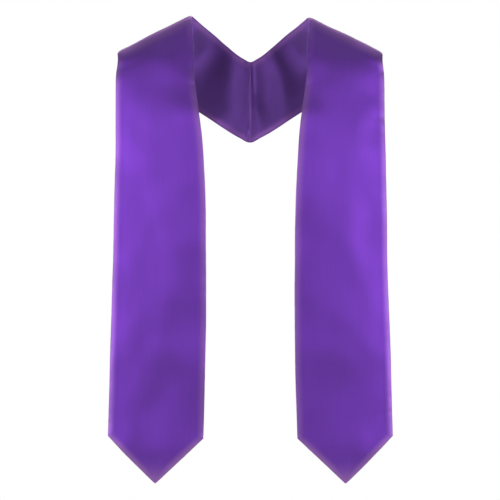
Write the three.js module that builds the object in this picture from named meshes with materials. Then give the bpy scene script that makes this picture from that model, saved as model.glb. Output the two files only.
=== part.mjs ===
// A plain satin choir stole, shaped as it lies on a wearer's shoulders with its ends hanging in front.
// Units are millimetres and +Z is up. The wearer faces -Y, and the wearer's left side is +X.
// The origin is the nape: the neck edge at the centre-back seam, which bears on the back of the neck.
import * as THREE from "three";

// Driving dimensions.
const WALL = 1; // thickness of each layer of satin
const LAYER_GAP = 0.3; // between the face and the lining
const SEAM_GAP = 0.3; // between the two halves at the centre back
const FOLD_RADIUS = 12; // of the soft fold along the top of each shoulder
const FOLD_FRONT = 18; // degrees above level that the cloth faces where the fold meets the front
const FOLD_BACK = 134; // the same where the fold meets the back, counted over the top
const FOLD_SLANT = 0.3; // how far the strip slips along the fold for each millimetre round it
const FOLD_STEPS = 4;
const ROW_STEP = 24; // spacing of the rows of facets along the strip
const COLUMNS = 6; // facets across the strip
const POINT_MIDDLE = 0.487; // where the point lies across the strip

const SATIN = { color: 0x7842c2, roughness: 0.45, metalness: 0 };
const SATIN_INSIDE = { color: 0x6c3da5, roughness: 0.5, metalness: 0 };

// Sections across the strip of the left half. neck is on the edge beside the neck and down the front
// opening, outer is on the other edge, and crown is how far the middle stands out from the line between.
const BACK_SECTIONS = [
  { place: "centre-back seam", neck: [0, 0, 0], outer: [0, 20, -131], crown: 0 },
  { place: "beside the seam", neck: [11, -0.5, 5], outer: [17, 19.5, -123], crown: 1 },
  { place: "nape", neck: [40, -9, 26], outer: [68, 16, -91], crown: 3 },
  { place: "side of the neck", neck: [60, -28, 42], outer: [120, -2, -57], crown: 4 },
  { place: "behind the shoulder", neck: [78, -52, 55], outer: [172, -36, -21], crown: 3 },
];
const SHOULDER_FOLD = { neck: [94, -75, 66], outer: [210.5, -75, 7], crown: 1 };
const FRONT_SECTIONS = [
  { place: "collar", neck: [91.5, -100, 24], outer: [212, -91.5, -27], crown: 3 },
  { place: "collarbone", neck: [89, -115, -36], outer: [212.5, -94.5, -75], crown: 4.5 },
  { place: "upper chest", neck: [78.5, -127, -110], outer: [213, -98, -135], crown: 5 },
  { place: "chest", neck: [72, -133, -200], outer: [214.5, -102, -210], crown: 6 },
  { place: "below the chest", neck: [70, -135, -300], outer: [216, -105.5, -300], crown: 6 },
  { place: "waist", neck: [70, -132, -450], outer: [220, -110, -450], crown: 5 },
  { place: "corners", neck: [74, -126, -605], outer: [224, -113, -602], crown: 4 },
];
const POINT_SECTION = { place: "point", neck: [76, -123, -676], outer: [226, -113, -676], crown: 3 };

const vector = (values) => new THREE.Vector3(...values);
const lerp = THREE.MathUtils.lerp;

// The sections round the shoulder fold, on an arc about a line under it. The strip crosses the fold at
// a slant, so each section also slips along it.
function foldSections() {
  const line = vector(SHOULDER_FOLD.outer).sub(vector(SHOULDER_FOLD.neck)).normalize();
  const up = new THREE.Vector3(-line.z, 0, line.x);
  const backwards = new THREE.Vector3(0, 1, 0);
  const sections = [];
  for (let step = 0; step <= FOLD_STEPS; step += 1) {
    const angle = THREE.MathUtils.degToRad(lerp(FOLD_BACK, FOLD_FRONT, step / FOLD_STEPS));
    const shift = up
      .clone()
      .multiplyScalar(FOLD_RADIUS * (Math.sin(angle) - 1))
      .addScaledVector(backwards, -FOLD_RADIUS * Math.cos(angle))
      .addScaledVector(line, FOLD_RADIUS * FOLD_SLANT * (Math.PI / 2 - angle));
    sections.push({
      neck: vector(SHOULDER_FOLD.neck).add(shift).toArray(),
      outer: vector(SHOULDER_FOLD.outer).add(shift).toArray(),
      crown: SHOULDER_FOLD.crown,
    });
  }
  return sections;
}

// Each section as one list of numbers, with its distance along the middle of the strip. A mirrored
// section before the seam and a straight continuation past the point give the ends their slopes.
function stations() {
  const sections = [...BACK_SECTIONS, ...foldSections(), ...FRONT_SECTIONS, POINT_SECTION];
  const middles = sections.map(({ neck, outer }) => vector(neck).lerp(vector(outer), 0.5));
  let along = 0;
  const list = sections.map(({ neck, outer, crown }, i) => {
    along += i > 0 ? middles[i].distanceTo(middles[i - 1]) : 0;
    return { along, values: [...neck, ...outer, crown] };
  });
  const beside = list[1];
  const [neckX, neckY, neckZ, outerX, outerY, outerZ, crown] = beside.values;
  const mirrored = [-neckX, neckY, neckZ, -outerX, outerY, outerZ, crown];
  const [previous, last] = list.slice(-2);
  const beyond = last.values.map((value, k) => 2 * value - previous.values[k]);
  return [
    { along: -beside.along, values: mirrored },
    ...list,
    { along: 2 * last.along - previous.along, values: beyond },
  ];
}

// The slope at a station of the parabola through it and its two neighbours.
function slopes(before, here, after) {
  const behind = here.along - before.along;
  const ahead = after.along - here.along;
  return here.values.map((value, k) => {
    const slopeBehind = (value - before.values[k]) / behind;
    const slopeAhead = (after.values[k] - value) / ahead;
    return (slopeBehind * ahead + slopeAhead * behind) / (behind + ahead);
  });
}

// The section a share t of the way between two stations, on a smooth curve through all of them.
function sectionBetween(list, i, t) {
  const [before, from, to, after] = list.slice(i - 1, i + 3);
  const span = to.along - from.along;
  const slopeFrom = slopes(before, from, to);
  const slopeTo = slopes(from, to, after);
  const values = from.values.map((value, k) => {
    const left = (1 + 2 * t) * (1 - t) ** 2 * value + t * (1 - t) ** 2 * span * slopeFrom[k];
    const right = t ** 2 * (3 - 2 * t) * to.values[k] + t ** 2 * (t - 1) * span * slopeTo[k];
    return left + right;
  });
  return { neck: vector(values.slice(0, 3)), outer: vector(values.slice(3, 6)), crown: values[6] };
}

// The points of one section, evenly spaced. narrowing is 0 on the full width and 1 at the tip of the point.
function rowOf(section, narrowing) {
  const row = [];
  for (let column = 0; column <= COLUMNS; column += 1) {
    const across = lerp(column / COLUMNS, POINT_MIDDLE, narrowing);
    const point = section.neck.clone().lerp(section.outer, across);
    row.push({ point, lift: section.crown * 4 * across * (1 - across) });
  }
  return row;
}

// Rows of points from the centre-back seam to the tip, before the crown lifts them.
function flatRows() {
  const list = stations();
  const lastSpan = list.length - 3;
  const rows = [];
  for (let i = 1; i <= lastSpan; i += 1) {
    const steps = Math.ceil((list[i + 1].along - list[i].along) / ROW_STEP);
    for (let step = 0; step < steps; step += 1) {
      const t = step / steps;
      rows.push(rowOf(sectionBetween(list, i, t), i === lastSpan ? t : 0));
    }
  }
  rows.push(rowOf(sectionBetween(list, lastSpan, 1), 1));
  return rows;
}

// The outward direction at each point. The seam row looks across to its mirror image, and the tip,
// where the columns meet, takes the direction of the row above it.
function outwardOf(grid) {
  const tip = grid.length - 1;
  const outward = grid.slice(0, tip).map((row, i) =>
    row.map((point, j) => {
      const before = i > 0 ? grid[i - 1][j] : grid[1][j].clone().setX(-grid[1][j].x);
      const down = grid[i + 1][j].clone().sub(before);
      const across = row[Math.min(j + 1, COLUMNS)].clone().sub(row[Math.max(j - 1, 0)]);
      return down.cross(across).normalize();
    }),
  );
  outward.push(outward[tip - 1]);
  return outward;
}

// The middle surface of the left half, between the face and the lining.
function middleSurface() {
  const rows = flatRows();
  const flat = rows.map((row) => row.map(({ point }) => point));
  const outward = outwardOf(flat);
  return flat.map((row, i) =>
    row.map((point, j) => point.clone().addScaledVector(outward[i][j], rows[i][j].lift)),
  );
}

// One layer of cloth as a closed solid, between two distances outward from the middle surface.
// side is 1 for the left half and -1 for the right, its mirror image.
function layerGeometry(grid, outward, inner, outer, side) {
  const tip = grid.length - 1;
  const positions = [];
  const skins = [inner, outer].map((distance) =>
    grid.map((row, i) =>
      row.map((point, j) => {
        if (i === tip && j > 0) {
          return positions.length / 3 - 1;
        }
        const moved = point.clone().addScaledVector(outward[i][j], distance);
        positions.push(moved.x * side, moved.y, moved.z);
        return positions.length / 3 - 1;
      }),
    ),
  );
  const [inside, outside] = skins;
  const indices = [];
  const addTriangle = (a, b, c) => {
    if (a !== b && b !== c && c !== a) {
      indices.push(a, ...(side > 0 ? [b, c] : [c, b]));
    }
  };
  const addQuad = (a, b, c, d) => {
    addTriangle(a, b, c);
    addTriangle(a, c, d);
  };
  for (let i = 0; i < tip; i += 1) {
    for (let j = 0; j < COLUMNS; j += 1) {
      addQuad(outside[i][j], outside[i + 1][j], outside[i + 1][j + 1], outside[i][j + 1]);
      addQuad(inside[i][j], inside[i][j + 1], inside[i + 1][j + 1], inside[i + 1][j]);
    }
    addQuad(inside[i][0], inside[i + 1][0], outside[i + 1][0], outside[i][0]);
    addQuad(inside[i][COLUMNS], outside[i][COLUMNS], outside[i + 1][COLUMNS], inside[i + 1][COLUMNS]);
  }
  for (let j = 0; j < COLUMNS; j += 1) {
    addQuad(inside[0][j], outside[0][j], outside[0][j + 1], inside[0][j + 1]);
  }
  const geometry = new THREE.BufferGeometry();
  geometry.setAttribute("position", new THREE.Float32BufferAttribute(positions, 3));
  geometry.setIndex(indices);
  geometry.computeVertexNormals();
  return geometry;
}

function layerMesh(name, geometry, colours, side) {
  const mesh = new THREE.Mesh(geometry, new THREE.MeshStandardMaterial(colours));
  mesh.name = name;
  mesh.position.x = (side * SEAM_GAP) / 2;
  return mesh;
}

// One half of the stole: its face outside and its lining towards the wearer.
function half(name, grid, outward, side) {
  const near = LAYER_GAP / 2;
  const far = near + WALL;
  const group = new THREE.Group();
  const face = layerGeometry(grid, outward, near, far, side);
  const lining = layerGeometry(grid, outward, -far, -near, side);
  group.add(layerMesh(`${name}_face`, face, SATIN, side));
  group.add(layerMesh(`${name}_lining`, lining, SATIN_INSIDE, side));
  return group;
}

const surface = middleSurface();
const facing = outwardOf(surface);
const stole = new THREE.Group();
stole.add(half("left", surface, facing, 1));
stole.add(half("right", surface, facing, -1));

export default stole;
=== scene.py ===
"""A plain satin choir stole, shaped as it lies on a wearer's shoulders.

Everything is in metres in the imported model's frame: +Z is up, the wearer faces -Y, the wearer's left is +X
and the origin is the neck edge at the centre-back seam. The left half is worked out from a short table of
sections and the right half is its mirror image, with swells, small waves and dimples of its own.
"""
import math
from collections import namedtuple

import bpy
import numpy as np
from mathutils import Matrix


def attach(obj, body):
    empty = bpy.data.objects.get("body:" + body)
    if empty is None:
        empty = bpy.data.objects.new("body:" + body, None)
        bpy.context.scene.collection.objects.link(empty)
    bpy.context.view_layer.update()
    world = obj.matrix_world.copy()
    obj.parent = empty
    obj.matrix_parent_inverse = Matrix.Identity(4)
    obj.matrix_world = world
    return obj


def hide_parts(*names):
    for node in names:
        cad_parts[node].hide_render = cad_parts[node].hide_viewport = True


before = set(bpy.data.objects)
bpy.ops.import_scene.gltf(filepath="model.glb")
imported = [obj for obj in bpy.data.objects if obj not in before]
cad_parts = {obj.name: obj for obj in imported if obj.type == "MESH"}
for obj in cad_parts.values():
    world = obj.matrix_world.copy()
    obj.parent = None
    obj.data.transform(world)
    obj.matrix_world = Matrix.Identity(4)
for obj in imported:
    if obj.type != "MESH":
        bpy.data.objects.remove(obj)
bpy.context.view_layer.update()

bl_info = {
    "name": "Choir Stole",
    "version": (1, 0, 0),
    "blender": (4, 5, 0),
    "location": "View3D > Sidebar > Stole",
    "description": "Builds a plain satin choir stole, draped as worn",
    "category": "Add Mesh",
}

MM = 0.001

# The shoulder fold, in millimetres and degrees as in the part.
FOLD_RADIUS = 12
FOLD_FRONT = 18
FOLD_BACK = 134
FOLD_SLANT = 0.3
FOLD_STEPS = 4
POINT_MIDDLE = 0.487  # where the point lies across the strip

# Sections across the left half, in millimetres: the point on the neck edge, the point on the outer edge
# and how far the middle stands out from the line between.
Section = namedtuple("Section", "place neck outer crown")
BACK_SECTIONS = [
    Section("centre-back seam", (0, 0, 0), (0, 20, -131), 0),
    Section("beside the seam", (11, -0.5, 5), (17, 19.5, -123), 1),
    Section("nape", (40, -9, 26), (68, 16, -91), 3),
    Section("side of the neck", (60, -28, 42), (120, -2, -57), 4),
    Section("behind the shoulder", (78, -52, 55), (172, -36, -21), 3),
]
SHOULDER_FOLD = Section("shoulder fold", (94, -75, 66), (210.5, -75, 7), 1)
FRONT_SECTIONS = [
    Section("collar", (91.5, -100, 24), (212, -91.5, -27), 3),
    Section("collarbone", (89, -115, -36), (212.5, -94.5, -75), 4.5),
    Section("upper chest", (78.5, -127, -110), (213, -98, -135), 5),
    Section("chest", (72, -133, -200), (214.5, -102, -210), 6),
    Section("below the chest", (70, -135, -300), (216, -105.5, -300), 6),
    Section("waist", (70, -132, -450), (220, -110, -450), 5),
    Section("corners", (74, -126, -605), (224, -113, -602), 4),
]
POINT_SECTION = Section("point", (76, -123, -676), (226, -113, -676), 3)

# Larger swells and hollows of the cloth, in millimetres. part is back or front of the shoulder fold.
# sideways is the distance from the middle of the wearer and height is up from the nape. wide and tall are
# how far each reaches that way, and out is how far it stands out from the wearer, or in towards the
# wearer if negative.
Swell = namedtuple("Swell", "half part sideways height wide tall out")
SWELLS = [
    Swell("right", "back", 56, -38, 28, 62, -8),
    Swell("both", "back", 93, -42, 26, 48, -8),
    Swell("both", "back", 107, 24, 27, 38, -8),
    Swell("right", "back", 20, -130, 26, 26, -7),
    Swell("left", "back", 27, -50, 20, 55, -5),
    Swell("left", "back", 58, -42, 34, 66, -7.5),
    Swell("right", "front", 60, -25, 28, 52, -7),
    Swell("both", "front", 200, 2, 45, 18, 2),
    Swell("both", "front", 85, -95, 40, 26, 2.4),
    Swell("both", "front", 130, -475, 50, 34, 3),
    Swell("both", "front", 140, -626, 75, 34, 5),
    Swell("left", "front", 228, -445, 26, 70, 1.5),
]
SWELL_TURN = 30 * MM  # how far behind the crest of the fold the front's swells set in
SWELLS_REACHED = 6 * MM  # distance from the centre-back seam at which the swells have their full height

# Soft random waves. share is of the wave height, along and across are the spacing of the waves in
# millimetres, and seed is added to the half's own seed.
Wave = namedtuple("Wave", "share along across seed")
WAVES = [
    Wave(0.9, 110, 55, 1),
    Wave(0.6, 45, 30, 2),
    Wave(0.22, 24, 20, 6),
]
WAVES_REACHED = 20 * MM  # distance from the centre-back seam at which the waves have their full height
SEEDS = {"left": 100, "right": 200}
NECK_DIMPLE_SEED = 3
OUTER_DIMPLE_SEED = 4
SEAM_DIMPLE_SEED = 5
FACE_PUFF_SEED = 41
LINING_PUFF_SEED = 42

# Ranges for the dimples along a seam: the distance from one to the next, the length, how far it reaches
# into the cloth, the depth as a share of the deepest one's, and the slant.
DIMPLE_STEP = (9 * MM, 30 * MM)
DIMPLE_LENGTH = (3 * MM, 7 * MM)
DIMPLE_REACH = (4 * MM, 12 * MM)
DIMPLE_DEPTH = (-0.4, 1)
DIMPLE_SLANT = (-0.8, 0.8)
EDGE_DIMPLES_REACHED = (4 * MM, 20 * MM)  # they deepen between these distances from the centre-back seam
SEAM_DIMPLES_REACHED = 3 * MM
GATHER_DEPTH = 2  # added below the fold to the dimples of the neck edge, as a share of their depth
GATHER_BELOW_FOLD = 55 * MM
GATHER_REACH = 35 * MM

# Thickness of the edges and of the cloth inside them.
EDGE_INSIDE = (3 * MM, 16 * MM)  # the seam allowance thins out between these distances from the edge
PUFF_INSIDE = (8 * MM, 30 * MM)  # the puff sets in between these
PUFF_SPACING = (50 * MM, 40 * MM)
PUFF_MEAN = 0.5
PUFF_SPREAD = 0.6
SEAM_ALLOWANCE = (7 * MM, 12 * MM)
SEAM_FULLNESS = 0.5  # of the edge fullness
VALLEY_WIDTH = 1.1 * MM
VALLEY_DEPTH = 0.1  # of the cloth thickness
LINING_TUCK = 0.42 * MM  # how far the lining's edges are sunk below the face's
TUCK_INSIDE = (1 * MM, 3 * MM)

# How much paler the satin is made, from 0 to 1: partly real pressed and rubbed wear, partly a painted
# highlight where the sheen catches the light on the edges, the crest of the fold, the seam and the tip.
STRAIGHT_EDGE_RUB_AND_HIGHLIGHT = 0.65
SEAM_RUB_AND_HIGHLIGHT = 0.45
SEAM_RUB_AND_HIGHLIGHT_WIDTH = 1.5 * MM
NECK_SHADED_HIGHLIGHT_LOSS = 0.9  # beside the neck, where the back of the stole shades the neck edge, most of its painted highlight is taken away: painted shade
NECK_BELOW_FOLD = 60 * MM
NECK_REACH = 45 * MM
# The tip is made paler still. This is a painted highlight, as its edges face down and get little light.
TIP_REACH = 19 * MM

POINT_CURL_LOSS = 0.75  # share of the edge curl that the pointed end lacks

# The grid of points. Distances in the next two tables are in millimetres from an edge and from the seam.
BAND_DISTANCES = (1.7, 2.6, 3.6, 4.8, 6.0, 7.2, 8.4, 9.6, 11, 12.6, 14.4, 16.5, 19)
SEAM_ROWS = (0, 0.4, 0.9, 1.5, 2.3, 3.3, 4.6, 6.2)
ROLL_STEPS = 5
INNER_COLUMNS = 36
INNER_ROOM = 1.25  # least half width of the strip, as a multiple of the band of close columns at an edge
ROW_SPACING = 2.3 * MM
TIP_SPAN = 6 * MM
TIP_ROWS = 8
TIP_ROUNDING = 1.2 * MM
CORNER_BLEND = 9 * MM
OUTER_EASE = 1.6 * MM  # how far the turned outer edge of the front stands out past the plain layers
EASE_LENGTH = 60 * MM

# The camera of the reference view, in metres, with the lens and sensor in millimetres.
CAMERA_DISTANCE = 3.0
CAMERA_LENS = 135
SENSOR_WIDTH = 36
CAMERA_HEIGHT = -0.3083
CAMERA_SIDE = -0.0006  # brings the middle of the stole onto the photo's
RIDGE_Y = -0.075  # the crest of the shoulder folds

# The soft boxes, in metres and watts. across and forward are measured from the crest of the folds, and
# each with an across other than 0 stands on both sides.
SoftBox = namedtuple("SoftBox", "name across forward height wide tall power")
SOFT_BOXES = [
    SoftBox("side light", 1.72, 0.85, -0.25, 0.5, 1.2, 15.3),
    SoftBox("front light", 0.65, 1.78, 0.35, 0.4, 0.9, 3),
    SoftBox("middle light", 0, 1.9, -0.45, 0.4, 1.6, 2.4),
    SoftBox("high light", 0, 1.3, 1.5, 0.6, 0.6, 1),
    SoftBox("overhead light", 0, 0, 1.8, 0.8, 0.8, 8),
    SoftBox("back light", 0.95, -1.6, 0.5, 0.8, 1.3, 12),
]
AMBIENT = 0.01  # light that the white studio itself gives
FLOOR_HEIGHT = -0.9
FLOOR_RADIUS = 1.3
FLOOR_SIDES = 64
FLOOR_PAINT = (0.8, 0.8, 0.8, 1)
FLOOR_GLOW = 0.84


def linear_colour(hex_colour):
    """An sRGB hex colour as linear red, green, blue."""
    channels = [int(hex_colour[i:i + 2], 16) / 255 for i in (1, 3, 5)]
    return tuple(c / 12.92 if c <= 0.04045 else ((c + 0.055) / 1.055) ** 2.4 for c in channels)


# Shape of the strip


def fold_sections():
    """The sections round the shoulder fold, on an arc about a line under it."""
    neck, outer = np.array(SHOULDER_FOLD.neck, float), np.array(SHOULDER_FOLD.outer, float)
    line = (outer - neck) / np.linalg.norm(outer - neck)
    up = np.array([-line[2], 0, line[0]])
    backwards = np.array([0.0, 1.0, 0.0])
    sections = []
    for angle in np.radians(np.linspace(FOLD_BACK, FOLD_FRONT, FOLD_STEPS + 1)):
        shift = (math.sin(angle) - 1) * up - math.cos(angle) * backwards
        shift = FOLD_RADIUS * (shift + FOLD_SLANT * (math.pi / 2 - angle) * line)
        sections.append(Section("fold", neck + shift, outer + shift, SHOULDER_FOLD.crown))
    return sections


class Strip:
    """The middle surface of the left half as a smooth curve of sections along the strip."""

    def __init__(self):
        sections = BACK_SECTIONS + fold_sections() + FRONT_SECTIONS + [POINT_SECTION]
        values = np.array([[*s.neck, *s.outer, s.crown] for s in sections], float) * MM
        middles = (values[:, :3] + values[:, 3:6]) / 2
        steps = np.linalg.norm(np.diff(middles, axis=0), axis=1)
        along = np.concatenate([[0], np.cumsum(steps)])
        mirrored = values[1] * (-1, 1, 1, -1, 1, 1, 1)
        beyond = 2 * values[-1] - values[-2]
        knots = np.concatenate([[-along[1]], along, [2 * along[-1] - along[-2]]])
        spans = np.diff(knots)[:, None]
        rises = np.diff(np.vstack([mirrored, values, beyond]), axis=0) / spans
        self.slopes = (rises[:-1] * spans[1:] + rises[1:] * spans[:-1]) / (spans[1:] + spans[:-1])
        self.along, self.values = along, values
        self.fold = along[len(BACK_SECTIONS) + FOLD_STEPS // 2]
        self.corner, self.tip = along[-2], along[-1]

    def sections_at(self, along):
        """The neck point, outer point and crown at each distance along the strip."""
        i = np.clip(np.searchsorted(self.along, along, side="right") - 1, 0, len(self.along) - 2)
        span = (self.along[i + 1] - self.along[i])[:, None]
        t = ((along - self.along[i]) / span[:, 0])[:, None]
        left = (1 + 2 * t) * (1 - t) ** 2 * self.values[i] + t * (1 - t) ** 2 * span * self.slopes[i]
        right = t**2 * (3 - 2 * t) * self.values[i + 1] + t**2 * (t - 1) * span * self.slopes[i + 1]
        return left + right

    def share_at_point(self, along):
        """0 on the straight part of the strip and 1 on its pointed end."""
        return smooth_step(self.corner - CORNER_BLEND, self.corner + 2 * CORNER_BLEND, along)


def unit(vectors):
    """The same directions at length 1."""
    return vectors / np.linalg.norm(vectors, axis=-1, keepdims=True)


def smooth_step(low, high, x):
    """0 up to low and 1 from high, with a smooth rise between."""
    t = np.clip((x - low) / (high - low), 0, 1)
    return t * t * (3 - 2 * t)


def bell(x, reach):
    """1 at 0, falling smoothly to nearly nothing at twice the reach."""
    return np.exp(-((x / reach) ** 2))


def wander_over(x, y, spacing_x, spacing_y, seed):
    """A smooth random surface between about -1 and 1: a cubic B-spline over a grid of random values."""
    size = 256
    rng = np.random.default_rng(seed)
    values = rng.uniform(-1, 1, (size, size))
    place_x, place_y = x / spacing_x + size / 4, y / spacing_y + size / 4
    i, j = np.floor(place_x).astype(int), np.floor(place_y).astype(int)
    tx, ty = place_x - i, place_y - j

    def weights(t):
        return (1 - t) ** 3 / 6, (3 * t**3 - 6 * t**2 + 4) / 6, (3 * (t + t**2 - t**3) + 1) / 6, t**3 / 6

    total = np.zeros(np.broadcast(x, y).shape)
    for p, wx in enumerate(weights(tx)):
        for q, wy in enumerate(weights(ty)):
            total += wx * wy * values[(i + p - 1) % size, (j + q - 1) % size]
    return total * 2


def row_positions(strip):
    """Distances of the rows of points along the strip, closer together at the seam and the tip."""
    start = SEAM_ROWS[-1] * MM
    end = strip.tip - TIP_SPAN
    count = math.ceil((end - start) / ROW_SPACING)
    middle = np.linspace(start, end, count + 1)[1:]
    tip = strip.tip - TIP_SPAN * np.linspace(1, 0, TIP_ROWS + 1)[1:] ** 2
    return np.concatenate([np.array(SEAM_ROWS) * MM, middle, tip])


def column_distances(roll):
    """Distances in from an edge of the columns of points near it."""
    angles = np.linspace(0, math.pi / 2, ROLL_STEPS)
    return np.concatenate([roll * (1 - np.cos(angles)), np.array(BAND_DISTANCES) * MM])


def places_across(strip, along, width, roll):
    """Rows of places across the strip, from 0 on the neck edge to 1 on the outer edge. The rows of the
    pointed end narrow to the tip."""
    to_tip = np.clip(strip.tip - along, 0, None)
    length = strip.tip - strip.corner
    share = np.minimum(np.sqrt(to_tip**2 + 2 * to_tip * TIP_ROUNDING) / (length + TIP_ROUNDING), 1)
    low = POINT_MIDDLE * (1 - share)
    high = 1 - (1 - POINT_MIDDLE) * (1 - share)
    available = (high - low) * width
    slope = math.hypot(1, width[-1] / 2 / length)
    stretch = 1 + (slope - 1) * smooth_step(-CORNER_BLEND, CORNER_BLEND, along - strip.corner)

    # The columns near the edges draw together where the pointed end gets too narrow for them.
    near = column_distances(roll)
    room = np.minimum(1, available / 2 / (near[-1] * stretch) / INNER_ROOM)
    edge = near[None, :] * (stretch * room)[:, None]
    inner = np.linspace(0, 1, INNER_COLUMNS + 2)[None, 1:-1]
    middle = edge[:, -1:] + (available[:, None] - 2 * edge[:, -1:]) * inner
    across = np.concatenate([edge, middle, available[:, None] - edge[:, ::-1]], axis=1)
    return low[:, None] + across / width[:, None]


def edge_distances(strip, along, width, v):
    """Each point's distances to the cut edge on the neck's side and to the outer one. Both edges turn
    inwards at the corners of the pointed end."""
    b = v * width[:, None]
    length = strip.tip - strip.corner
    slant = math.hypot(length, width[-1] * POINT_MIDDLE)
    from_corner = along[:, None] - strip.corner
    inset_neck = (v * length - POINT_MIDDLE * from_corner) * width[:, None] / slant
    inset_outer = ((1 - v) * length - (1 - POINT_MIDDLE) * from_corner) * width[:, None] / slant
    edge_neck = np.clip(np.minimum(b, inset_neck), 0, None)
    edge_outer = np.clip(np.minimum(width[:, None] - b, inset_outer), 0, None)
    edge_neck[:, 0] = 0
    edge_outer[:, -1] = 0
    edge_neck[-1] = edge_outer[-1] = 0
    return edge_neck, edge_outer


Grid = namedtuple("Grid", "points outward a b edge_neck edge_outer nearest along")


def strip_grid(strip, roll):
    """The middle surface of the left half as rows and columns of points. a and b are each point's place
    on the flat cut piece, along and across it, and the edges its distances to the cut edges."""
    along = row_positions(strip)
    sections = strip.sections_at(along)
    small = 0.2 * MM
    change = (strip.sections_at(along + small) - strip.sections_at(along - small)) / (2 * small)
    neck, outer, crown = sections[:, :3], sections[:, 3:6], sections[:, 6]
    ease = OUTER_EASE * smooth_step(strip.fold, strip.fold + EASE_LENGTH, along)
    outer = outer + unit(outer - neck) * ease[:, None]
    ruling = outer - neck
    travel = unit((change[:, :3] + change[:, 3:6]) / 2)
    slip = np.einsum("ij,ij->i", travel, ruling)
    width = np.linalg.norm(np.cross(travel, ruling), axis=1)

    v = places_across(strip, along, width, roll)
    points = neck[:, None] * (1 - v[..., None]) + outer[:, None] * v[..., None]
    travel_here = change[:, None, :3] * (1 - v[..., None]) + change[:, None, 3:6] * v[..., None]
    outward = unit(np.cross(travel_here, ruling[:, None]))
    points = points + outward * (crown[:, None] * 4 * v * (1 - v))[..., None]
    a = along[:, None] + (v - POINT_MIDDLE) * slip[:, None]
    b = v * width[:, None]
    edge_neck, edge_outer = edge_distances(strip, along, width, v)
    nearest = np.minimum(edge_neck, edge_outer)
    return Grid(points, outward, a, b, edge_neck, edge_outer, nearest, along[:, None])


# Drape and thickness of the cloth

Dimple = namedtuple("Dimple", "place length depth reach slant")


def random_dimples(end, seed):
    """Small dimples pulled in by the stitches of a seam, at uneven distances along it."""
    rng = np.random.default_rng(seed)
    dimples = []
    place = 0
    while place < end:
        place += rng.uniform(*DIMPLE_STEP)
        length = rng.uniform(*DIMPLE_LENGTH)
        depth = rng.uniform(*DIMPLE_DEPTH)
        reach = rng.uniform(*DIMPLE_REACH)
        dimples.append(Dimple(place, length, depth, reach, rng.uniform(*DIMPLE_SLANT)))
    return dimples


def pulled_in(place, inset, dimples):
    """How far the dimples of one seam pull each point in, from its place along the seam and its distance
    from it."""
    total = np.zeros(np.broadcast(place, inset).shape)
    for dimple in dimples:
        offset = place - dimple.place - dimple.slant * inset
        total += dimple.depth * bell(offset, dimple.length) * np.exp(-inset / dimple.reach)
    return total


def waves_of(grid, seed):
    """The soft waves as shares of the wave height. They fade out at the centre-back seam."""
    waves = sum(
        wave.share * wander_over(grid.a, grid.b, wave.along * MM, wave.across * MM, seed + wave.seed)
        for wave in WAVES
    )
    return waves * smooth_step(0, WAVES_REACHED, grid.a)


def swells_of(grid, strip, half):
    """How far the larger swells and hollows stand out. They fade out at the centre-back seam."""
    front = smooth_step(strip.fold - SWELL_TURN, strip.fold, grid.along)
    share = {"back": 1 - front, "front": front}
    swells = sum(
        swell.out * MM * share[swell.part]
        * bell(grid.points[..., 0] - swell.sideways * MM, swell.wide * MM)
        * bell(grid.points[..., 2] - swell.height * MM, swell.tall * MM)
        for swell in SWELLS if swell.half in (half, "both")
    )
    return swells * smooth_step(0, SWELLS_REACHED, grid.along)


def dimples_of(grid, strip, seed):
    """The dimples along the two edges and the centre-back seam as shares of the dimple depth."""
    gathered = 1 + GATHER_DEPTH * bell(grid.along - strip.fold - GATHER_BELOW_FOLD, GATHER_REACH)
    neck_dimples = random_dimples(strip.tip, seed + NECK_DIMPLE_SEED)
    outer_dimples = random_dimples(strip.tip, seed + OUTER_DIMPLE_SEED)
    seam_dimples = random_dimples(grid.b.max(), seed + SEAM_DIMPLE_SEED)
    along_edges = pulled_in(grid.a, grid.edge_neck, neck_dimples) * gathered
    along_edges += pulled_in(grid.a, grid.edge_outer, outer_dimples)
    along_edges *= smooth_step(*EDGE_DIMPLES_REACHED, grid.along)
    along_seam = pulled_in(grid.b, grid.along, seam_dimples)
    along_seam *= smooth_step(0, SEAM_DIMPLES_REACHED, grid.along)
    return along_edges + along_seam


def drape(grid, strip, sizes, half):
    """How far the whole cloth, both layers together, stands out from the plain surface at each point."""
    seed = SEEDS[half]
    curl = sizes.edge_curl * np.clip(1 - grid.nearest / sizes.curl_width, 0, 1) ** 2
    curl *= 1 - POINT_CURL_LOSS * strip.share_at_point(grid.along)
    waves = sizes.wave_height * waves_of(grid, seed)
    dimples = sizes.dimple_depth * dimples_of(grid, strip, seed)
    return waves + swells_of(grid, strip, half) - curl - dimples


def layer_height(grid, sizes, puff_seed):
    """Half the cloth's thickness at each point: rolled at the edge, fuller where the seam allowance is
    turned in and slightly puffed inside it."""
    fullness = sizes.edge_fullness * (1 - smooth_step(*EDGE_INSIDE, grid.nearest))
    wander = wander_over(grid.a, grid.b, *PUFF_SPACING, puff_seed)
    puff = np.clip(PUFF_MEAN + PUFF_SPREAD * wander, 0, 1) * sizes.puff
    puff *= smooth_step(*PUFF_INSIDE, grid.nearest)
    at_seam = SEAM_FULLNESS * sizes.edge_fullness * (1 - smooth_step(*SEAM_ALLOWANCE, grid.along))
    valley = VALLEY_DEPTH * sizes.cloth_thickness * bell(grid.along, VALLEY_WIDTH)
    height = sizes.cloth_thickness / 2 + fullness + puff + at_seam - valley
    return height * np.sqrt(1 - (1 - np.clip(grid.nearest / sizes.edge_roll, 0, 1)) ** 2)


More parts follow.
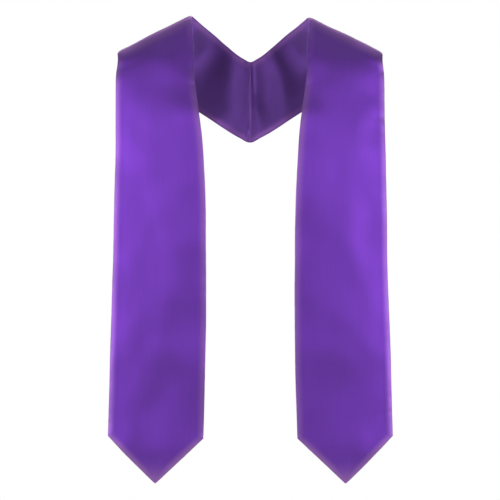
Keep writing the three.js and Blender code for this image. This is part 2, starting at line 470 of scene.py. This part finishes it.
def pressed(grid, strip, sizes):
    """How much paler the satin is made, partly real pressed and rubbed wear and partly a painted highlight of
    its sheen: 1 on the crest of the shoulder fold, the tip and the edges of the point, less on the other
    edges and the centre-back seam, little beside the neck, where the neck edge is in painted shade, and 0
    inside."""
    rub_and_highlight = STRAIGHT_EDGE_RUB_AND_HIGHLIGHT + (1 - STRAIGHT_EDGE_RUB_AND_HIGHLIGHT) * strip.share_at_point(grid.along)
    beside_neck = bell(grid.along - strip.fold - NECK_BELOW_FOLD, NECK_REACH)
    inner = rub_and_highlight * (1 - smooth_step(0, sizes.pressed_and_highlit_width, grid.edge_neck))
    # Painted shade: beside the neck, where the back of the stole shades the neck edge, most of its painted
    # highlight is taken away.
    inner *= 1 - NECK_SHADED_HIGHLIGHT_LOSS * beside_neck
    outer = rub_and_highlight * (1 - smooth_step(0, sizes.pressed_and_highlit_width, grid.edge_outer))
    # The crest of the fold is pressed paler, with a painted highlight where its sheen catches the light from
    # above.
    crest = 1 - smooth_step(0, 2 * sizes.pressed_and_highlit_width, np.abs(grid.along - strip.fold))
    # The centre-back seam is pressed paler, with a painted highlight along the seam line.
    seam = SEAM_RUB_AND_HIGHLIGHT * bell(grid.along, SEAM_RUB_AND_HIGHLIGHT_WIDTH)
    # Painted highlight on the tip, whose edges face down and get little light.
    tip = bell(grid.along - strip.tip, TIP_REACH)
    return np.max(np.broadcast_arrays(inner, outer, crest, seam, tip), axis=0)


# Skins of the two layers

Skin = namedtuple("Skin", "rows across along pressed")


def face_skin(grid, shift, height, rub_and_highlight):
    """The satin face: under one edge from the seam line, over the top and under the other edge."""
    under = ROLL_STEPS + 1
    low = grid.points + grid.outward * (shift - height)[..., None]
    top = grid.points + grid.outward * (shift + height)[..., None]

    def wrap(under_side, upper):
        return np.concatenate([under_side[:, under:0:-1], upper, under_side[:, -2:-under - 2:-1]], axis=1)

    return Skin(wrap(low, top), wrap(grid.b, grid.b), wrap(grid.a, grid.a), wrap(rub_and_highlight, rub_and_highlight))


def lining_skin(grid, shift, height, rub_and_highlight):
    """The satin lining, from seam line to seam line, tucked slightly under the face."""
    inner = slice(ROLL_STEPS, grid.a.shape[1] - ROLL_STEPS)
    tuck = LINING_TUCK * (1 - smooth_step(*TUCK_INSIDE, grid.nearest[:, inner]))
    depth = shift[:, inner] - height[:, inner] + tuck
    low = grid.points[:, inner] + grid.outward[:, inner] * depth[..., None]
    return Skin(low, grid.b[:, inner], grid.a[:, inner], rub_and_highlight[:, inner])


def join_tip(values):
    """Values at the rows of points in order, with the last row joined in one point."""
    return np.append(values[:-1].ravel(), values[-1].mean())


def skin_mesh(name, skin, side, flip):
    """A mesh from rows of points. side is -1 for the mirrored half, and flip turns it inside out."""
    count, columns = skin.rows.shape[:2]
    vertices = skin.rows[:-1].reshape(-1, 3)
    tip = len(vertices)
    vertices = np.vstack([vertices, skin.rows[-1].mean(axis=0)]) * (side, 1, 1)
    index = np.arange(tip).reshape(count - 1, columns)
    quads = np.stack([index[:-1, :-1], index[1:, :-1], index[1:, 1:], index[:-1, 1:]], axis=-1).reshape(-1, 4)
    last = index[-1]
    triangles = np.stack([last[:-1], np.full(columns - 1, tip), last[1:]], axis=-1)
    if (side < 0) != flip:
        quads, triangles = quads[:, ::-1], triangles[:, ::-1]
    mesh = bpy.data.meshes.new(name)
    mesh.from_pydata(vertices.tolist(), [], quads.tolist() + triangles.tolist())

    # Each half has its own stretch of the cloth's streaks, so that they don't mirror each other.
    flat = np.stack([join_tip(skin.across) + side / 2, join_tip(skin.along)], axis=-1)
    corners = np.zeros(len(mesh.loops), int)
    mesh.loops.foreach_get("vertex_index", corners)
    mesh.uv_layers.new(name="cloth").data.foreach_set("uv", flat[corners].astype(np.float32).ravel())
    # The paler edges, partly real pressed wear and partly painted highlight, go to the material as a point
    # attribute.
    rub_and_highlight = mesh.attributes.new("pressed", "FLOAT", "POINT")
    rub_and_highlight.data.foreach_set("value", join_tip(skin.pressed).astype(np.float32))
    mesh.shade_smooth()
    return mesh


def cloth_piece(name, mesh, thickness):
    """A piece of cloth with its thickness added behind the mesh's outer side."""
    piece = bpy.data.objects.new(name, mesh)
    bpy.context.scene.collection.objects.link(piece)
    solidify = piece.modifiers.new("thickness", "SOLIDIFY")
    solidify.thickness = thickness
    solidify.offset = -1
    return piece


# Materials


def add_node(tree, kind, settings=(), values=(), links=()):
    """Adds a shader node with its settings, its input values and the links into its inputs."""
    node = tree.nodes.new(kind)
    for name, value in dict(settings).items():
        setattr(node, name, value)
    for name, value in dict(values).items():
        node.inputs[name].default_value = value
    for name, output in dict(links).items():
        tree.links.new(output, node.inputs[name])
    return node


def cloth_noise(tree, place, across, along, detail):
    """Noise on the flat cloth with grains of the given size across and along it, in metres."""
    scaled = add_node(tree, "ShaderNodeMapping", (), {"Scale": (1 / across, 1 / along, 1)}, {"Vector": place})
    noise = add_node(
        tree, "ShaderNodeTexNoise", {"noise_dimensions": "2D"}, {"Scale": 1.0, "Detail": detail},
        {"Vector": scaled.outputs["Vector"]},
    )
    return noise.outputs["Fac"]


def mix_colours(tree, factor, first, second):
    """A mix of two colours, each a tuple or the output of a node."""
    mixed = add_node(tree, "ShaderNodeMix", {"data_type": "RGBA"}, {}, {"Factor": factor})
    for name, colour in (("A", first), ("B", second)):
        if isinstance(colour, tuple):
            mixed.inputs[name].default_value = (*colour, 1)
        else:
            tree.links.new(colour, mixed.inputs[name])
    return mixed.outputs["Result"]


def polyester_satin(name, base, pressed_and_highlit_base, sheen, lustre):
    """Woven polyester bridal satin, made of long smooth warp floats that lie along the strip. The eye sees
    a lustrous, even cloth whose soft shine is drawn out across the floats, with faint lengthwise
    streaks and paler, pinker edges, partly where it is pressed and rubbed and partly a painted highlight of
    its sheen."""
    material = bpy.data.materials.new(name)
    material.use_nodes = True
    tree = material.node_tree
    shader = tree.nodes["Principled BSDF"]
    place = add_node(tree, "ShaderNodeUVMap", {"uv_map": "cloth"}).outputs["UV"]

    # The warp has about 10 threads to the millimetre. That is too fine to show, so the streaks are drawn
    # as bundles 2.4 mm across and the floats as grains 1.2 mm across.
    streaks = cloth_noise(tree, place, 2.4 * MM, 80 * MM, 3.0)
    floats = cloth_noise(tree, place, 1.2 * MM, 9 * MM, 2.0)
    patches = cloth_noise(tree, place, 45 * MM, 70 * MM, 1.0)

    # The streaks are up to 7% darker and lighter than the cloth.
    deep = tuple(c * 0.93 for c in base)
    bright = tuple(min(c * 1.07, 1) for c in base)
    plain = mix_colours(tree, streaks, deep, bright)
    # The paler edges, partly real pressed wear and partly painted highlight, are mixed into the base colour.
    rub_and_highlight = add_node(tree, "ShaderNodeAttribute", {"attribute_name": "pressed"}).outputs["Fac"]
    tree.links.new(mix_colours(tree, rub_and_highlight, plain, pressed_and_highlit_base), shader.inputs["Base Color"])
    roughness = add_node(
        tree, "ShaderNodeMapRange", (), {"From Min": 0.3, "From Max": 0.7, "To Min": 0.42, "To Max": 0.49},
        {"Value": patches},
    )
    tree.links.new(roughness.outputs["Result"], shader.inputs["Roughness"])
    bump = add_node(
        tree, "ShaderNodeBump", (), {"Strength": 0.4, "Distance": 0.02 * MM}, {"Height": floats}
    )
    tree.links.new(bump.outputs["Normal"], shader.inputs["Normal"])
    tangent = add_node(tree, "ShaderNodeTangent", {"direction_type": "UV_MAP", "uv_map": "cloth"})
    tree.links.new(tangent.outputs["Tangent"], shader.inputs["Tangent"])
    shader.inputs["Metallic"].default_value = lustre
    shader.inputs["Sheen Weight"].default_value = sheen
    shader.inputs["Sheen Roughness"].default_value = 0.6
    shader.inputs["Sheen Tint"].default_value = (0.9, 0.7, 0.85, 1)
    shader.inputs["Anisotropic"].default_value = 0.7
    return material


def pale_floor():
    """Matt white painted board, which fades into the white studio at its rim."""
    material = bpy.data.materials.new("white painted board")
    material.use_nodes = True
    tree = material.node_tree
    tree.nodes.clear()
    place = add_node(tree, "ShaderNodeTexCoord").outputs["Object"]
    scaled = add_node(
        tree, "ShaderNodeMapping", (), {"Scale": (1 / FLOOR_RADIUS,) * 3}, {"Vector": place}
    ).outputs["Vector"]
    inwards = add_node(
        tree, "ShaderNodeTexGradient", {"gradient_type": "SPHERICAL"}, {}, {"Vector": scaled}
    ).outputs["Fac"]
    solid = add_node(
        tree, "ShaderNodeMapRange", (), {"From Min": 0.0, "From Max": 0.5}, {"Value": inwards}
    ).outputs["Result"]
    board = add_node(tree, "ShaderNodeBsdfDiffuse", (), {"Color": FLOOR_PAINT}).outputs["BSDF"]
    glow = add_node(tree, "ShaderNodeEmission", (), {"Strength": FLOOR_GLOW}).outputs["Emission"]
    seen = add_node(tree, "ShaderNodeLightPath").outputs["Is Camera Ray"]
    lit = add_node(tree, "ShaderNodeMixShader", (), (), {"Fac": seen})
    tree.links.new(board, lit.inputs[1])
    tree.links.new(glow, lit.inputs[2])
    clear = add_node(tree, "ShaderNodeBsdfTransparent").outputs["BSDF"]
    faded = add_node(tree, "ShaderNodeMixShader", (), (), {"Fac": solid})
    tree.links.new(clear, faded.inputs[1])
    tree.links.new(lit.outputs["Shader"], faded.inputs[2])
    add_node(tree, "ShaderNodeOutputMaterial", (), (), {"Surface": faded.outputs["Shader"]})
    return material


# Settings


def length_property(name, description, default):
    """A length that a user can change."""
    return bpy.props.FloatProperty(
        name=name, description=description, default=default, min=0, precision=5, subtype="DISTANCE",
        unit="LENGTH",
    )


def colour_property(name, description, hex_colour):
    """A colour that a user can change."""
    return bpy.props.FloatVectorProperty(
        name=name, description=description, subtype="COLOR", size=3, min=0, max=1,
        default=linear_colour(hex_colour),
    )


class StoleSizes(bpy.types.PropertyGroup):
    """Sizes of the cloth and its edges"""

    edge_roll: length_property("Edge roll", "Radius of the turned edge", 1.3 * MM)
    edge_fullness: length_property("Edge fullness", "Extra half thickness over the seam allowance", 0.3 * MM)
    cloth_thickness: length_property("Cloth thickness", "Thickness of both layers together", 1.4 * MM)
    edge_curl: length_property("Edge curl", "How far the edges curl towards the wearer", 1.5 * MM)
    curl_width: length_property("Curl width", "Width of the curled edge", 12 * MM)
    puff: length_property("Puff", "How far each layer swells away from the other", 0.4 * MM)
    wave_height: length_property("Wave height", "Height of the soft waves of the cloth", 2.2 * MM)
    dimple_depth: length_property("Dimple depth", "Depth of the dimples along the seams", 0.6 * MM)
    # The paler edges are partly real pressed wear and partly painted highlight.
    pressed_and_highlit_width: length_property("Pressed width", "Width of the paler pressed edges", 13 * MM)
    layer_thickness: length_property("Layer thickness", "Thickness of one layer of satin", 0.3 * MM)


class StoleColours(bpy.types.PropertyGroup):
    """Colours of the satin"""

    face: colour_property("Face", "Colour of the satin face", "#7831C7")
    # The colour of the face's edges stands for both real pressed wear and a painted highlight of the sheen.
    face_pressed_and_highlit: colour_property("Pressed face", "Colour of the face on its pressed edges", "#AB72CC")
    # The lining is the same satin as the face. Its greyer colour is painted shade, matched to the shaded
    # inside of the back.
    lining: colour_property("Lining", "Colour of the satin lining", "#804EBA")
    # The colour of the lining's edges stands for both real pressed wear and a painted highlight of the sheen.
    lining_pressed_and_highlit: colour_property("Pressed lining", "Colour of the lining on its pressed edges", "#CC86E8")


# Pieces


def make_layer(part, skin_of, puff_seed, satin, flip):
    """Makes one layer of both halves as sheets of cloth, in place of the plain layers of the frame."""
    sizes = bpy.context.scene.stole_sizes
    strip = Strip()
    grid = strip_grid(strip, sizes.edge_roll)
    height = layer_height(grid, sizes, puff_seed)
    rub_and_highlight = pressed(grid, strip, sizes)
    for half, side in (("left", 1), ("right", -1)):
        skin = skin_of(grid, drape(grid, strip, sizes, half), height, rub_and_highlight)
        name = f"{half}_satin_{part}"
        piece = cloth_piece(name, skin_mesh(name, skin, side, flip), sizes.layer_thickness)
        piece.data.materials.append(satin)
        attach(piece, "root")
        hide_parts(f"{half}_{part}")


class STOLE_OT_face(bpy.types.Operator):
    """Make the satin face of both halves"""

    bl_idname = "stole.make_face"
    bl_label = "Satin face"

    def execute(self, context):
        colours = context.scene.stole_colours
        base, pressed_and_highlit_base = tuple(colours.face), tuple(colours.face_pressed_and_highlit)
        satin = polyester_satin("polyester satin, face", base, pressed_and_highlit_base, sheen=0.55, lustre=0.65)
        make_layer("face", face_skin, FACE_PUFF_SEED, satin, flip=False)
        return {"FINISHED"}


class STOLE_OT_lining(bpy.types.Operator):
    """Make the satin lining of both halves"""

    bl_idname = "stole.make_lining"
    bl_label = "Satin lining"

    def execute(self, context):
        colours = context.scene.stole_colours
        base, pressed_and_highlit_base = tuple(colours.lining), tuple(colours.lining_pressed_and_highlit)
        satin = polyester_satin("polyester satin, lining", base, pressed_and_highlit_base, sheen=0.5, lustre=0.75)
        make_layer("lining", lining_skin, LINING_PUFF_SEED, satin, flip=True)
        return {"FINISHED"}


def aim(thing, target):
    """Turns a light so that it shines at the target."""
    direction = np.array(target) - np.array(thing.location)
    flat = math.hypot(direction[0], direction[1])
    thing.rotation_euler = (math.atan2(flat, -direction[2]), 0, math.atan2(-direction[0], direction[1]))


def add_soft_box(box, side, target):
    """Adds a soft box on one side, 1 or -1, that shines at the target."""
    light = bpy.data.lights.new(box.name, "AREA")
    light.shape = "RECTANGLE"
    light.size, light.size_y = box.wide, box.tall
    light.energy = box.power
    lamp = bpy.data.objects.new(box.name, light)
    lamp.location = (side * box.across, RIDGE_Y - box.forward, box.height)
    lamp.visible_camera = False
    bpy.context.scene.collection.objects.link(lamp)
    aim(lamp, target)


def add_floor():
    """Adds the round floor below the stole."""
    mesh = bpy.data.meshes.new("floor")
    angles = np.linspace(0, 2 * math.pi, FLOOR_SIDES, endpoint=False)
    rim = [(FLOOR_RADIUS * math.cos(t), FLOOR_RADIUS * math.sin(t), 0) for t in angles]
    mesh.from_pydata(rim, [], [range(len(rim))])
    mesh.materials.append(pale_floor())
    floor = bpy.data.objects.new("floor", mesh)
    floor.location = (0, 0, FLOOR_HEIGHT)
    bpy.context.scene.collection.objects.link(floor)


def white_studio():
    """A white world to the camera that gives only a little light."""
    world = bpy.data.worlds.new("white studio")
    world.use_nodes = True
    tree = world.node_tree
    seen = add_node(tree, "ShaderNodeLightPath").outputs["Is Camera Ray"]
    strength = add_node(tree, "ShaderNodeMapRange", (), {"To Min": AMBIENT, "To Max": 1.0}, {"Value": seen})
    background = tree.nodes["Background"]
    background.inputs["Color"].default_value = (1, 1, 1, 1)
    tree.links.new(strength.outputs["Result"], background.inputs["Strength"])
    return world


class STOLE_OT_stage(bpy.types.Operator):
    """Make the camera, the lights and the pale floor"""

    bl_idname = "stole.make_stage"
    bl_label = "Camera, lights and floor"

    def execute(self, context):
        scene = context.scene
        scene.view_settings.view_transform = "Standard"
        camera = bpy.data.cameras.new("camera")
        camera.lens, camera.sensor_width = CAMERA_LENS, SENSOR_WIDTH
        viewer = bpy.data.objects.new("camera", camera)
        viewer.location = (CAMERA_SIDE, RIDGE_Y - CAMERA_DISTANCE, CAMERA_HEIGHT)
        viewer.rotation_euler = (math.pi / 2, 0, 0)
        scene.collection.objects.link(viewer)
        scene.camera = viewer
        for box in SOFT_BOXES:
            for side in (-1, 1) if box.across else (1,):
                add_soft_box(box, side, (0, RIDGE_Y, CAMERA_HEIGHT))
        add_floor()
        scene.world = white_studio()
        return {"FINISHED"}


class STOLE_PT_panel(bpy.types.Panel):
    """Lists the sizes, the colours and the operators"""

    bl_label = "Choir stole"
    bl_idname = "STOLE_PT_panel"
    bl_space_type = "VIEW_3D"
    bl_region_type = "UI"
    bl_category = "Stole"

    def draw(self, context):
        for group in (context.scene.stole_sizes, context.scene.stole_colours):
            for name in group.bl_rna.properties.keys():
                if name not in {"rna_type", "name"}:
                    self.layout.prop(group, name)
        for operator in (STOLE_OT_face, STOLE_OT_lining, STOLE_OT_stage):
            self.layout.operator(operator.bl_idname)


CLASSES = (StoleSizes, StoleColours, STOLE_OT_face, STOLE_OT_lining, STOLE_OT_stage, STOLE_PT_panel)


def register():
    for cls in CLASSES:
        bpy.utils.register_class(cls)
    bpy.types.Scene.stole_sizes = bpy.props.PointerProperty(type=StoleSizes)
    bpy.types.Scene.stole_colours = bpy.props.PointerProperty(type=StoleColours)


def unregister():
    del bpy.types.Scene.stole_colours
    del bpy.types.Scene.stole_sizes
    for cls in reversed(CLASSES):
        bpy.utils.unregister_class(cls)


def main():
    """Makes the stole and its stage."""
    register()
    bpy.ops.stole.make_stage()
    bpy.ops.stole.make_face()
    bpy.ops.stole.make_lining()


if __name__ == "__main__":
    main()
